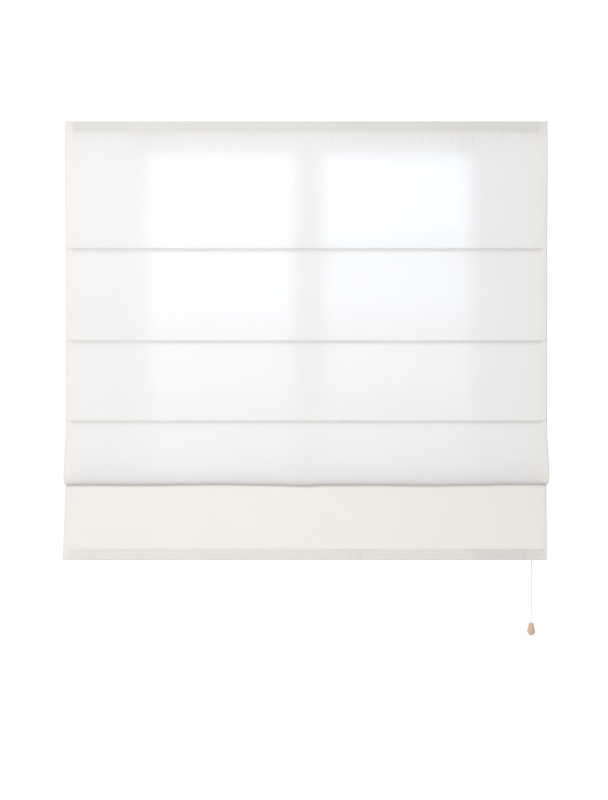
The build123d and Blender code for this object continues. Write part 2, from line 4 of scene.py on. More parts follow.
import bpy
import numpy as np
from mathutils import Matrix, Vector


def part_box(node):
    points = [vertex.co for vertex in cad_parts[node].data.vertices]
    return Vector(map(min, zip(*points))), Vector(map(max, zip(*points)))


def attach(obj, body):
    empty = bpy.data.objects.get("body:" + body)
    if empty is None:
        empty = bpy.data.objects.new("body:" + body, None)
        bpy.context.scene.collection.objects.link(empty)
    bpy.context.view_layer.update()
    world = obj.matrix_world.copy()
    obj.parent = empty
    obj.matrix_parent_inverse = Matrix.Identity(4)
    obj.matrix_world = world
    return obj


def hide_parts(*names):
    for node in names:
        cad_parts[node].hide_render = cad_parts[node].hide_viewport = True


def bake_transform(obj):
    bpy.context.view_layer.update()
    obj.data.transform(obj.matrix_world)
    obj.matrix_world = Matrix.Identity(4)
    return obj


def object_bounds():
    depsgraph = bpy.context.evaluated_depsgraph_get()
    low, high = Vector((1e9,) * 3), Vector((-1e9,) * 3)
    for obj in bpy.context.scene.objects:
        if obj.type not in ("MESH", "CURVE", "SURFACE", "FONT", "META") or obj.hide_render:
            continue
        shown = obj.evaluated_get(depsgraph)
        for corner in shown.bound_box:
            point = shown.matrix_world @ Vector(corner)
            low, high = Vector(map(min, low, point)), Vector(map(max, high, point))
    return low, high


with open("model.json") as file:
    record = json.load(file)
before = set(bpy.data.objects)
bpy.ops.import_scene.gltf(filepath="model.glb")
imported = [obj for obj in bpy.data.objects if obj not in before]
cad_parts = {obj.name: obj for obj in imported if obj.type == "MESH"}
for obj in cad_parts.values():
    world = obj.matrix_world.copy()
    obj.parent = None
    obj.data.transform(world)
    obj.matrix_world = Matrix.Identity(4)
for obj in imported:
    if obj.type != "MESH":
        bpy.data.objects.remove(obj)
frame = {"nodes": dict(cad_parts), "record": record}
CAD_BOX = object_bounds()
RNG = np.random.default_rng(7)

# ---- places read from the frame, in metres ----
HALF_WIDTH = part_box("fabric_top_stretch")[1].x
TOP_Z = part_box("fabric_top_stretch")[1].z
RAIL_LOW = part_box("headrail")[0]
CORD_Y = sum((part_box("lift_cord_right")[i].y for i in (0, 1))) / 2
ROD = [sum(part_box(f"rod_{n}"), Vector()) / 2 for n in (1, 2, 3, 4)]
ROWS = ["root", "rod_1_row", "rod_2_row", "rod_3_row", "bottom_row"]
HEM_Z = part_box("fabric_bottom_stretch")[0].z
CLOTH = 0.0008  # thickness
SIDE_HEM = 0.020
SEAM = 0.0035  # each stretch of cloth starts this far above its rod
HEAD_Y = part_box("loop_tape")[0].y - CLOTH / 2
CLOTH_Y = ROD[0].y - 0.0033  # the plane of the cloth where it is sewn to a rod's pocket
CORD_X = [-0.480, 0.0, 0.480]  # the three lift cords
CORD_R = 0.0006
PULL_X = 0.563


# ---- small helpers ----
def mesh_object(name, vertices, faces, material):
    mesh = bpy.data.meshes.new(name)
    mesh.from_pydata([tuple(v) for v in vertices], [], [tuple(f) for f in faces])
    mesh.update()
    mesh.polygons.foreach_set("use_smooth", [True] * len(mesh.polygons))
    mesh.materials.append(material)
    obj = bpy.data.objects.new(name, mesh)
    bpy.context.scene.collection.objects.link(obj)
    return obj


def bezier(p0, p1, p2, p3, count):
    """Points along one cubic segment, without its last one."""
    t = np.linspace(0, 1, count, endpoint=False)[:, None]
    p0, p1, p2, p3 = (np.array(p, float) for p in (p0, p1, p2, p3))
    return (1 - t) ** 3 * p0 + 3 * (1 - t) ** 2 * t * p1 + 3 * (1 - t) * t * t * p2 + t**3 * p3


def evenly(points, step):
    """The same (y, z) line with points about a step apart."""
    points = np.array(points, float)
    along = np.concatenate([[0], np.cumsum(np.linalg.norm(np.diff(points, axis=0), axis=1))])
    at = np.linspace(0, along[-1], max(3, int(along[-1] / step) + 1))
    return np.stack([np.interp(at, along, points[:, k]) for k in (0, 1)], axis=1)


def tube(name, points, radius, material, sides=12):
    """A closed round tube along a list of points."""
    points = [Vector(p) for p in points]
    vertices, faces = [], []
    side = None
    for i, p in enumerate(points):
        before, after = points[max(i - 1, 0)], points[min(i + 1, len(points) - 1)]
        ahead = (after - before).normalized()
        if side is None:
            side = ahead.orthogonal().normalized()
        side = (side - ahead * side.dot(ahead)).normalized()
        other = ahead.cross(side)
        for k in range(sides):
            turn = 2 * math.pi * k / sides
            vertices.append(p + radius * (math.cos(turn) * side + math.sin(turn) * other))
    for i in range(len(points) - 1):
        for k in range(sides):
            a, b = i * sides + k, i * sides + (k + 1) % sides
            faces.append((a, b, b + sides, a + sides))
    faces.append(tuple(reversed(range(sides))))
    faces.append(tuple(range(len(vertices) - sides, len(vertices))))
    return mesh_object(name, vertices, faces, material)


# ---- materials ----
class Shader:
    """A material whose nodes are added by short calls."""

    def __init__(self, name, colour, roughness, **sockets):
        self.material = bpy.data.materials.new(name)
        self.material.use_nodes = True
        self.tree = self.material.node_tree
        self.main = self.tree.nodes["Principled BSDF"]
        self.main.inputs["Base Color"].default_value = (*colour, 1)
        self.main.inputs["Roughness"].default_value = roughness
        for socket, value in sockets.items():
            self.main.inputs[socket.replace("_", " ")].default_value = value
        self.place = self.add("ShaderNodeTexCoord").outputs["Object"]

    def add(self, kind, **settings):
        node = self.tree.nodes.new(kind)
        for key, value in settings.items():
            setattr(node, key, value)
        return node

    def link(self, source, target):
        self.tree.links.new(source, target)

    def scaled(self, x, y, z):
        """Object coordinates, stretched."""
        node = self.add("ShaderNodeMapping")
        node.inputs["Scale"].default_value = (x, y, z)
        self.link(self.place, node.inputs["Vector"])
        return node.outputs["Vector"]

    def noise(self, vector, scale, detail=3.0, roughness=0.5):
        node = self.add("ShaderNodeTexNoise")
        node.inputs["Scale"].default_value = scale
        node.inputs["Detail"].default_value = detail
        node.inputs["Roughness"].default_value = roughness
        self.link(vector, node.inputs["Vector"])
        return node.outputs["Fac"]

    def wave(self, direction, scale, distortion=0.0, vector=None):
        node = self.add("ShaderNodeTexWave", bands_direction=direction)
        node.inputs["Scale"].default_value = scale
        node.inputs["Distortion"].default_value = distortion
        node.inputs["Detail"].default_value = 1.0
        self.link(self.place if vector is None else vector, node.inputs["Vector"])
        return node.outputs["Fac"]

    def math(self, operation, a, b):
        node = self.add("ShaderNodeMath", operation=operation)
        for socket, value in zip(node.inputs, (a, b)):
            if isinstance(value, (int, float)):
                socket.default_value = value
            else:
                self.link(value, socket)
        return node.outputs[0]

    def ramp(self, factor, *stops):
        """A colour ramp from (position, colour) stops."""
        node = self.add("ShaderNodeValToRGB")
        elements = node.color_ramp.elements
        while len(elements) < len(stops):
            elements.new(0.5)
        for element, (position, colour) in zip(elements, stops):
            element.position = position
            element.color = (*colour, 1)
        self.link(factor, node.inputs["Fac"])
        return node.outputs["Color"]

    def bump(self, height, distance, strength=1.0, normal=None):
        node = self.add("ShaderNodeBump")
        node.inputs["Strength"].default_value = strength
        node.inputs["Distance"].default_value = distance
        self.link(height, node.inputs["Height"])
        if normal is not None:
            self.link(normal, node.inputs["Normal"])
        return node.outputs["Normal"]

    def colour(self, source):
        self.link(source, self.main.inputs["Base Color"])

    def surface_normal(self, source):
        self.link(source, self.main.inputs["Normal"])


IVORY = (0.884, 0.863, 0.834)
IVORY_DEEP = (0.860, 0.838, 0.808)
WEAVE_SCALE = 420.0  # a thread every 0.75 mm


def cloth_material(name, deep, light, through_colour, through_share):
    s = Shader(name, light, 0.82, Sheen_Weight=0.12, Sheen_Roughness=0.45)
    warp = s.wave("X", WEAVE_SCALE, 0.6)
    weft = s.wave("Z", WEAVE_SCALE * 1.15, 0.6)
    weave = s.math("MULTIPLY", warp, weft)
    across = s.noise(s.scaled(26, 26, 620), 1.0, 2.0)
    along = s.noise(s.scaled(540, 26, 14), 1.0, 2.0)
    slubs = s.math("MAXIMUM", across, along)
    clouds = s.noise(s.scaled(3, 3, 3), 1.6, 3.0)
    mix = s.math("ADD", s.math("MULTIPLY", slubs, 0.6), s.math("MULTIPLY", clouds, 0.4))
    s.colour(s.ramp(mix, (0.34, deep), (0.64, light)))
    fine = s.bump(weave, 0.00016, 0.35)
    s.surface_normal(s.bump(slubs, 0.0002, 0.25, fine))
    through = s.add("ShaderNodeBsdfTranslucent")
    through.inputs["Color"].default_value = (*through_colour, 1)
    mixed = s.add("ShaderNodeMixShader")
    mixed.inputs["Fac"].default_value = through_share
    s.link(s.main.outputs["BSDF"], mixed.inputs[1])
    s.link(through.outputs["BSDF"], mixed.inputs[2])
    s.link(mixed.outputs["Shader"], s.tree.nodes["Material Output"].inputs["Surface"])
    return s.material


def thread_material():
    s = Shader("sewing_thread", (0.88, 0.875, 0.86), 0.6, Sheen_Weight=0.1)
    s.surface_normal(s.bump(s.wave("X", 900.0, 2.0), 0.00008, 0.5))
    s.colour(s.ramp(s.noise(s.place, 60.0), (0.3, (0.84, 0.835, 0.82)), (0.7, (0.90, 0.895, 0.88))))
    return s.material


def braid_material(name, colour, pitch_scale):
    s = Shader(name, colour, 0.62, Sheen_Weight=0.15)
    crossing = s.math("MULTIPLY", s.wave("DIAGONAL", pitch_scale, 1.0), s.wave("Z", pitch_scale * 1.4, 1.0))
    s.surface_normal(s.bump(crossing, 0.00025, 0.7))
    dark = tuple(0.88 * c for c in colour)
    s.colour(s.ramp(crossing, (0.0, dark), (0.5, colour)))
    return s.material


def wood_material():
    s = Shader("turned_beech", (0.62, 0.42, 0.28), 0.42, Coat_Weight=0.25, Coat_Roughness=0.25)
    grain = s.noise(s.scaled(900, 900, 60), 1.0, 4.0, 0.6)
    rings = s.wave("X", 40.0, 6.0, s.scaled(1, 1, 0.25))
    mixed = s.math("ADD", s.math("MULTIPLY", grain, 0.6), s.math("MULTIPLY", rings, 0.4))
    s.colour(s.ramp(mixed, (0.28, (0.54, 0.36, 0.24)), (0.55, (0.64, 0.45, 0.31)), (0.8, (0.70, 0.52, 0.38))))
    s.surface_normal(s.bump(grain, 0.0002, 0.3))
    return s.material


def moulded_material(name, colour, roughness, gloss=0.0):
    s = Shader(name, colour, roughness, Coat_Weight=gloss)
    s.surface_normal(s.bump(s.noise(s.place, 1400.0, 2.0), 0.00005, 0.4))
    low = tuple(0.95 * c for c in colour)
    s.colour(s.ramp(s.noise(s.place, 25.0), (0.35, low), (0.65, colour)))
    return s.material


def metal_material(name, colour, roughness, brushed=(20, 1500, 1500)):
    s = Shader(name, colour, roughness, Metallic=1.0)
    lines = s.noise(s.scaled(*brushed), 1.0, 2.0)
    s.surface_normal(s.bump(lines, 0.00006, 0.35))
    low = tuple(0.86 * c for c in colour)
    s.colour(s.ramp(lines, (0.3, low), (0.7, colour)))
    return s.material


def powder_coat():
    s = Shader("white_powder_coat", (0.84, 0.845, 0.845), 0.38, Coat_Weight=0.15)
    s.surface_normal(s.bump(s.noise(s.place, 900.0, 2.0), 0.00008, 0.35))
    s.colour(s.ramp(s.noise(s.place, 8.0), (0.3, (0.81, 0.815, 0.815)), (0.7, (0.85, 0.855, 0.855))))
    return s.material


def rod_material():
    s = Shader("drawn_glass_fibre", (0.80, 0.80, 0.76), 0.35, Coat_Weight=0.3)
    lines = s.noise(s.scaled(15, 2500, 2500), 1.0, 2.0)
    s.colour(s.ramp(lines, (0.3, (0.74, 0.74, 0.70)), (0.7, (0.82, 0.82, 0.79))))
    s.surface_normal(s.bump(lines, 0.00005, 0.3))
    return s.material


def tape_material(name, colour):
    """The dense pile of hook and loop tape."""
    s = Shader(name, colour, 0.9, Sheen_Weight=0.3)
    pile = s.noise(s.place, 1100.0, 3.0, 0.7)
    s.surface_normal(s.bump(pile, 0.0006, 0.8))
    s.colour(s.ramp(pile, (0.35, tuple(0.85 * c for c in colour)), (0.65, colour)))
    return s.material


# Lit and shaded copies of the one cloth. The upper stretches' cloth passes light tinted cool, which is
# painted daylight colour. The bottom stretch's copy below is a little warmer, less translucent and passes
# neutral light, which is painted shade for less light from behind.
CLOTH_MAT = cloth_material("cloth_plain_weave", IVORY_DEEP, IVORY, (0.85, 0.885, 0.94), 0.36)
SHADED_BOTTOM_CLOTH_MAT = cloth_material(
    "cloth_bottom_painted_shade", (0.868, 0.838, 0.797), (0.890, 0.861, 0.820), (0.88, 0.88, 0.88), 0.25
)
HEM_MAT = cloth_material(
    "cloth_doubled_hem", (0.87, 0.85, 0.825), (0.895, 0.875, 0.852), (0.80, 0.80, 0.80), 0.24
)
THREAD_MAT = thread_material()
LIFT_CORD_MAT = braid_material("lift_cord_braid", (0.83, 0.83, 0.81), 300.0)
PULL_CORD_MAT = braid_material("pull_cord_braid", (0.64, 0.64, 0.635), 220.0)
WOOD_MAT = wood_material()
PLASTIC_MAT = moulded_material("moulded_white", (0.83, 0.83, 0.82), 0.42)
RING_MAT = moulded_material("ring_acetal", (0.86, 0.86, 0.85), 0.28, 0.3)
STEEL_MAT = metal_material("zinc_plated_steel", (0.62, 0.63, 0.65), 0.38)
BRASS_MAT = metal_material("fluted_brass", (0.72, 0.53, 0.24), 0.32)
BAR_MAT = metal_material("mill_aluminium", (0.76, 0.77, 0.78), 0.42)
RAIL_MAT = powder_coat()
ROD_MAT = rod_material()
HOOK_MAT = tape_material("hook_tape_pile", (0.80, 0.80, 0.79))


# ---- camera ----
def camera():
    """Straight on and level, a little below the middle of the blind, as the blind is seen."""
    data = bpy.data.cameras.new("camera")
    data.lens = 54.1
    data.sensor_width = 36.0
    obj = bpy.data.objects.new("camera", data)
    obj.location = (-0.0062, CLOTH_Y - 3.0, TOP_Z - 0.6936)
    obj.rotation_euler = (math.pi / 2, 0, 0)
    bpy.context.scene.collection.objects.link(obj)
    bpy.context.scene.camera = obj


camera()


# ---- the pull cord ----
# Its route, as (x from the cord's column, z), with the sway that the part's own cord has.
PULL_ROUTE = [
    (0.0, -0.1512),
    (0.0, -0.4112),
    (0.0012, -0.6712),
    (0.0006, -0.9312),
    (0.0016, -1.0862),
    (0.0, -1.1940),
    (0.0, -1.2210),
]
PULL_CORD_D = 0.0018


def pull_cord():
    curve = bpy.data.curves.new("pull_cord_braided", "CURVE")
    curve.dimensions = "3D"
    spline = curve.splines.new("NURBS")
    spline.points.add(len(PULL_ROUTE) - 1)
    for point, (x, z) in zip(spline.points, PULL_ROUTE):
        point.co = (PULL_X + x, CORD_Y, z, 1)
    spline.order_u = 3
    spline.use_endpoint_u = True
    spline.resolution_u = 16
    curve.bevel_depth = PULL_CORD_D / 2
    curve.bevel_resolution = 4
    curve.use_fill_caps = True
    curve.materials.append(PULL_CORD_MAT)
    obj = bpy.data.objects.new("pull_cord_braided", curve)
    bpy.context.scene.collection.objects.link(obj)
    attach(obj, "pull")
    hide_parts("pull_cord")
    return obj


PULL = pull_cord()


# ---- cloth ----
def bump_row(z, centre, width):
    """1 at the centre, falling to 0 smoothly over a width."""
    return np.exp(-(((z - centre) / width) ** 2))


WAVES = [(RNG.uniform(0.5, 5.0), RNG.uniform(-0.7, 0.7), RNG.uniform(0, 6.28)) for _ in range(8)]
PUCKERS = [(RNG.uniform(250, 620), RNG.uniform(0, 6.28), RNG.uniform(0.4, 1.0)) for _ in range(9)]
SEAM_ZS = [rod.z + SEAM for rod in ROD[:3]]
HEAD_STITCH_Z = TOP_Z - 0.0187
LEAN = math.atan2(0.020, ROD[2].z - 0.173 - HEM_Z)  # of the lowest cloth, forwards
BAR = sum(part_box("bottom_bar"), Vector()) / 2
BAR_POCKET_TOP = HEM_Z + 0.0266


def drape(x, z):
    """Broad, shallow unevenness of hanging cloth, positive forwards, about half a millimetre."""
    total = np.zeros_like(x)
    for kx, kz, phase in WAVES:
        total += np.sin(2 * math.pi * (kx * x + kz * z) + phase)
    return 0.00018 * total


def puckers(x):
    """Close ripples that sewing draws into the cloth along a seam."""
    total = np.zeros_like(x)
    for k, phase, size in PUCKERS:
        total += size * np.sin(k * x + phase + 1.5 * np.sin(9 * x + phase))
    return total / len(PUCKERS)


def relief(x, z):
    """How far the visible cloth stands off its plain line, positive forwards."""
    out = drape(x, z)
    for seam in SEAM_ZS:
        near = z - (seam - SEAM)
        channel = np.exp(-((near / 0.0038) ** 4)) * np.clip((HALF_WIDTH - 0.009 - np.abs(x)) / 0.006, 0, 1)
        shoulder = np.where(near > 0, 0.0023, 0.0027) * bump_row(near, 0.0, 0.017)
        pucker = 0.0006 * puckers(x + 3 * seam) * bump_row(near, 0.010, 0.009)
        out = out + (shoulder + pucker) * (1 - channel)
    near = z - HEAD_STITCH_Z
    out = out - 0.0006 * bump_row(near, 0, 0.0013)
    ripples = 0.0020 * puckers(x * 0.8 + 1.0) * bump_row(near, -0.022, 0.011)
    return out + np.where(near < 0, ripples, 0)


def fold_relief(x, z, share):
    """The fold's own relief: the seam at rod 3, soft waves, and an uneven lower edge."""
    low = bump_row(share, 0.74, 0.15)
    edge = 0.0010 * np.sin(7.3 * x + 0.6) + 0.0007 * np.sin(17.0 * x + 2.0)
    kinks = 0.0016 * bump_row(x, -0.003, 0.018) + 0.0014 * bump_row(x, 0.435, 0.016)
    kinks = kinks - 0.0010 * bump_row(x, 0.03, 0.02)
    return np.where(share < 0.5, relief(x, z), drape(x, z)) + low * (edge + kinks)


def bottom_relief(x, z, share):
    """Nearly flat behind the fold, easing into soft waves towards the weighted hem."""
    down = np.clip((ROD[3].z - 0.03 - z) / 0.19, 0, 1)
    tuck = bump_row(z, BAR_POCKET_TOP, 0.0016)
    return down * drape(x, z) * 1.2 - 0.0006 * tuck


class Stretch:
    """One stretch of cloth: a (y, z) line across the blind's width, with relief and doubled side hems."""

    def __init__(self, name, node, line, relief_at, skew=0.0):
        self.name, self.node, self.skew = name, node, skew
        self.line = np.array(line)
        ahead = np.gradient(self.line, axis=0)
        ahead /= np.linalg.norm(ahead, axis=1)[:, None]
        self.out = np.stack([ahead[:, 1], -ahead[:, 0]], axis=1)  # towards the face for a line that runs down
        steps = np.linalg.norm(np.diff(self.line, axis=0), axis=1)
        self.along = np.concatenate([[0], np.cumsum(steps)])
        self.relief_at = relief_at

    def place(self, x, row, off):
        """Points at x and a (fractional) row, standing off the line by off plus the relief."""
        rows = np.arange(len(self.line))
        y, z, oy, oz = (np.interp(row, rows, v) for v in (*self.line.T, *self.out.T))
        share = row / (len(self.line) - 1)
        stand = self.relief_at(x, z, share) + off
        shift = self.skew * np.interp(row, rows, self.along) / self.along[-1]
        return np.stack([x + shift, y + oy * stand, z + oz * stand], axis=-1)

    def mesh(self, columns=320):
        rows = len(self.line)
        x = np.linspace(-HALF_WIDTH, HALF_WIDTH, columns)
        grid_x, grid_row = np.meshgrid(x, np.arange(rows, dtype=float))
        hem = np.clip((np.abs(x) - HALF_WIDTH + SIDE_HEM) / 0.0015, 0, 1)
        behind = -CLOTH / 2 - CLOTH * hem[None, :] * np.ones_like(grid_x)
        layers = [self.place(grid_x, grid_row, CLOTH / 2), self.place(grid_x, grid_row, behind)]
        count = rows * columns
        index = np.arange(count).reshape(rows, columns)
        a, b, c, d = index[:-1, :-1], index[:-1, 1:], index[1:, 1:], index[1:, :-1]
        front = np.stack([a, d, c, b], axis=2).reshape(-1, 4)
        back = np.stack([a, b, c, d], axis=2).reshape(-1, 4) + count
        rim = np.concatenate([index[0, :], index[1:, -1], index[-1, -2::-1], index[-2:0:-1, 0]])
        after = np.roll(rim, -1)
        edge = np.stack([rim, after, after + count, rim + count], axis=1)
        faces = np.concatenate([front, back, edge])
        points = np.concatenate([layer.reshape(-1, 3) for layer in layers])
        # The bottom stretch takes the painted-shade copy of the cloth, and the others take the cool-lit one.
        obj = mesh_object(self.name, points, faces.tolist(), SHADED_BOTTOM_CLOTH_MAT if self.skew else CLOTH_MAT)
        obj.data.materials.append(HEM_MAT)
        middle = np.abs(points[faces, 0].mean(axis=1))
        obj.data.polygons.foreach_set("material_index", (middle > HALF_WIDTH - SIDE_HEM).astype(np.int32))
        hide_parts(self.node)
        return obj

    def hem_stitches(self):
        """Two rows of stitches that hold the side hems down, in the cloth's own relief."""
        count = int(self.along[-1] / STITCH_PITCH)
        at = (np.arange(count) + 0.5) * STITCH_PITCH
        rows = np.arange(len(self.line))
        ends = [np.interp(at + k * STITCH / 2, self.along, rows) for k in (-1, 1)]
        pairs = []
        for side in (-1, 1):
            x = np.full(count, side * (HALF_WIDTH - SIDE_HEM + 0.0015))
            pairs += list(zip(*[self.place(x, row, CLOTH / 2) for row in ends]))
        obj = stitches(f"{self.name}_hem_stitches", pairs)
        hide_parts(self.node)
        return obj


STITCH = 0.0026
STITCH_PITCH = 0.0034
STITCH_R = 0.00028


def stitches(name, pairs):
    """Short threads between pairs of points, each a little spindle."""
    sides, rings = 5, ((0.0, 0.15), (0.25, 0.9), (0.75, 0.9), (1.0, 0.15))
    vertices, faces = [], []
    for a, b in pairs:
        a, b = Vector(a), Vector(b)
        ahead = (b - a).normalized()
        side = ahead.orthogonal().normalized()
        other = ahead.cross(side)
        base = len(vertices)
        for at, share in rings:
            for k in range(sides):
                turn = 2 * math.pi * k / sides
                ring = STITCH_R * share * (math.cos(turn) * side + math.sin(turn) * other)
                vertices.append(a.lerp(b, at) + ring)
        for i in range(len(rings) - 1):
            for k in range(sides):
                p, q = base + i * sides + k, base + i * sides + (k + 1) % sides
                faces.append((p, q, q + sides, p + sides))
        faces.append(tuple(base + k for k in reversed(range(sides))))
        faces.append(tuple(len(vertices) - sides + k for k in range(sides)))
    obj = mesh_object(name, vertices, faces, THREAD_MAT)
    return obj


STEP = 0.003


def profile(points, step):
    """A smooth (y, z) line through a few places, with points about a step apart."""
    points = np.array(points)
    slopes = np.gradient(points, axis=0)
    parts = []
    for p, q, m, n in zip(points[:-1], points[1:], slopes[:-1], slopes[1:]):
        parts.append(bezier(p, p + m / 3, q - n / 3, q, 30))
    return evenly(np.concatenate([*parts, points[-1:]]), step)


def top_line():
    """Down the headrail's face, a little forward below it, then back to rod 1's plane."""
    low = ROD[0].z + SEAM
    drop = TOP_Z - low
    at = lambda share, forward: (CLOTH_Y - forward, TOP_Z - share * drop)
    head = CLOTH_Y - HEAD_Y
    flat = [(HEAD_Y, TOP_Z), (HEAD_Y, TOP_Z - 0.030)]
    below = ((0.22, head + 0.0018), (0.42, head + 0.0020), (0.66, head), (0.86, 0.0040), (1.0, 0))
    curve = profile([flat[1]] + [at(share, forward) for share, forward in below], STEP)
    return np.concatenate([evenly(flat, STEP)[:-1], curve])


def billow_line(upper, lower, depth):
    """Between two rods, billowing forward, and fuller above the middle."""
    high, low = ROD[upper].z + SEAM, ROD[lower].z + SEAM
    span = high - low
    shape = ((0.0, 0.0), (0.22, 0.95), (0.42, 1.0), (0.72, 0.72), (0.90, 0.28), (1.0, 0.0))
    return profile([(CLOTH_Y - depth * out, high - span * share) for share, out in shape], STEP)


def fold_line():
    """From rod 3 forward and down, round the soft fold, and up behind it to rod 4."""
    z = ROD[2].z
    at = lambda forward, down: (CLOTH_Y - forward, z - down)
    back = 0.0024
    end = z - ROD[3].z - 0.001
    parts = [
        [at(0, -SEAM)],
        bezier(at(0, 0.002), at(0.002, 0.036), at(0.018, 0.070), at(0.0285, 0.110), 50),
        bezier(at(0.0285, 0.110), at(0.0350, 0.136), at(0.0270, 0.1530), at(0.0100, 0.1527), 30),
        bezier(at(0.0100, 0.1527), at(0.0045, 0.1525), at(back, 0.149), at(back, 0.142), 20),
        [at(back, 0.142), at(back, end)],
    ]
    return evenly(np.concatenate(parts), 0.0025)


def bottom_line():
    """Over rod 4, down behind the fold, and leaning forward to the hem."""
    z = ROD[3].z
    low = HEM_Z + 0.0003
    start = ROD[2].z - 0.173
    lean_y = CLOTH_Y - 0.020
    back = CLOTH_Y - 0.0024
    over = (CLOTH_Y, z + 0.0005)
    bend = (CLOTH_Y - 0.0022, start - 0.018)
    parts = [
        bezier((back, z + 0.001), (back, z + 0.003), (CLOTH_Y, z + 0.003), over, 10),
        bezier(over, (CLOTH_Y, z - 0.03), (CLOTH_Y, start + 0.018), bend, 30),
        [bend, (lean_y, low)],
    ]
    return evenly(np.concatenate(parts), STEP)


def plain(x, z, share):
    return relief(x, z)


STRETCHES = [
    Stretch("cloth_top", "fabric_top_stretch", top_line(), plain),
    Stretch("cloth_second", "fabric_second_stretch", billow_line(0, 1, 0.0050), plain),
    Stretch("cloth_third", "fabric_third_stretch", billow_line(1, 2, 0.0028), plain),
    Stretch("cloth_fold", "fabric_fold_stretch", fold_line(), fold_relief),
    Stretch("cloth_bottom", "fabric_bottom_stretch", bottom_line(), bottom_relief, skew=-0.0045),
]


def carry(obj, index):
    """Places a stretch's piece: the bottom one rides the bottom row's body, and the others are baked where
    they are.
    """
    if index == 4:
        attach(obj, "bottom_row")
        return
    if index == 3:
        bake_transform(obj)
        return
    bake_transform(obj)


def cloth():
    for index, stretch in enumerate(STRETCHES):
        sheet, thread = stretch.mesh(), stretch.hem_stitches()
        carry(sheet, index)
        carry(thread, index)


def seam_stitches():
    """Rows of stitches across the blind: under the top edge, over each rod, and above the bar."""
    count = int((2 * HALF_WIDTH - 0.012) / STITCH_PITCH)
    x = (np.arange(count) - (count - 1) / 2) * STITCH_PITCH
    rows = [("head", 0, HEAD_STITCH_Z, "root")]
    rows += [(f"rod_{n + 1}", n + 1, SEAM_ZS[n] - 0.0002, ROWS[n + 1]) for n in range(3)]
    rows += [("bar", 4, BAR_POCKET_TOP, "bottom_row")]
    for name, index, z, body in rows:
        stretch = STRETCHES[index]
        down = stretch.line[:, 1]
        row = np.interp(-z, -down, np.arange(len(down), dtype=float)) if index != 3 else 0.0
        row = np.full(count, float(np.clip(row, 0, len(down) - 1)))
        lift = CLOTH / 2 - 0.00005
        pairs = list(zip(stretch.place(x - STITCH / 2, row, lift), stretch.place(x + STITCH / 2, row, lift)))
        obj = stitches(f"{name}_stitch_row", pairs)
        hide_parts(stretch.node)
        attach(obj, body)


POCKET_HALF = HALF_WIDTH - 0.014
POCKET_R = 0.0031
POCKET_WALL = 0.0006


def sleeve(name, node, body, outline, inside, half_length, columns=200):
    """A cloth sleeve along X from its outer and inner (y, z) outlines, open at both ends."""
    around = len(outline)
    x = np.linspace(-half_length, half_length, columns)
    ease = 0.00025 * puckers(x * 0.6 + outline[0][1])
    points, faces = [], []
    for ring in (outline, inside):
        ring = np.array(ring)
        middle = ring.mean(axis=0)
        for k in range(columns):
            swell = middle + (ring - middle) * (1 + (ease[k] / POCKET_R))
            points.append(np.column_stack([np.full(around, x[k]), swell]))
    points = np.concatenate(points)
    shift = columns * around
    for i in range(columns - 1):
        for k in range(around):
            a, b = i * around + k, i * around + (k + 1) % around
            faces.append((a, a + around, b + around, b))
            faces.append((a + shift, b + shift, b + around + shift, a + around + shift))
    for base in (0, (columns - 1) * around):
        for k in range(around):
            a, b = base + k, base + (k + 1) % around
            faces.append((a, b, b + shift, a + shift) if base == 0 else (a, a + shift, b + shift, b))
    obj = mesh_object(name, points, faces, CLOTH_MAT)
    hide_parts(node)
    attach(obj, body)
    return obj


def pockets():
    """The sewn sleeves behind the cloth, one round each rod and one round the bottom bar."""
    turns = np.linspace(0, 2 * math.pi, 28, endpoint=False)
    nodes = [stretch.node for stretch in STRETCHES[1:]]
    for n, rod in enumerate(ROD):
        seam_at = math.atan2(SEAM - 0.0006, CLOTH_Y + 0.0006 - rod.y)
        gap = np.angle(np.exp(1j * (turns - seam_at)))
        reach = POCKET_R + 0.0010 * bump_row(gap, 0, 0.32)
        outer = np.column_stack([rod.y + reach * np.cos(turns), rod.z + reach * np.sin(turns)])
        reach = reach - POCKET_WALL
        inner = np.column_stack([rod.y + reach * np.cos(turns), rod.z + reach * np.sin(turns)])
        sleeve(f"rod_{n + 1}_pocket", nodes[n], ROWS[n + 1], outer, inner, POCKET_HALF)
    along = np.array([-math.sin(LEAN), -math.cos(LEAN)])  # down the leaning cloth
    behind = np.array([math.cos(LEAN), -math.sin(LEAN)])
    middle = np.array([BAR.y, BAR.z]) - along * 0.0010
    rings = []
    for half_depth, half_height, corner in ((0.0028, 0.0135, 0.0018), (0.0022, 0.0129, 0.0012)):
        ring = []
        for turn in turns:
            c, s = math.cos(turn), math.sin(turn)
            across = math.copysign(half_depth - corner, c) + corner * c
            up = math.copysign(half_height - corner, s) + corner * s
            ring.append(middle + behind * across - along * up)
        rings.append(ring)
    sleeve("bar_pocket", "fabric_bottom_stretch", "bottom_row", rings[0], rings[1], HALF_WIDTH - 0.012)


def ring_threads():
    """A few turns of thread that tie each ring to its rod's pocket."""
    for n, rod in enumerate(ROD):
        for side, x in zip(("left", "middle", "right"), CORD_X):
            points = []
            for k in range(61):
                turn = 2 * math.pi * 5 * k / 60
                y = rod.y + POCKET_R + 0.0002 + 0.0017 * math.cos(turn)
                points.append((x - 0.0012 + 0.0024 * k / 60, y, rod.z + 0.0017 * math.sin(turn)))
            thread = tube(f"rod_{n + 1}_ring_thread_{side}", points, 0.0002, THREAD_MAT, 6)
            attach(thread, ROWS[n + 1])


cloth()
seam_stitches()
pockets()
ring_threads()


# ---- lift cords ----
RUN_Z = RAIL_LOW.z + 0.0149  # the cords' way along the rail
RAIL_LANE, LOCK_LANE, CONDENSER_LANE = 0.004, 0.003, 0.0016  # between neighbouring cords
CORD_BEND = 0.005  # over a roller or the lock's pulley


def cord_piece(name, node, points):
    obj = tube(name, points, CORD_R, LIFT_CORD_MAT)
    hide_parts(node)
    return obj


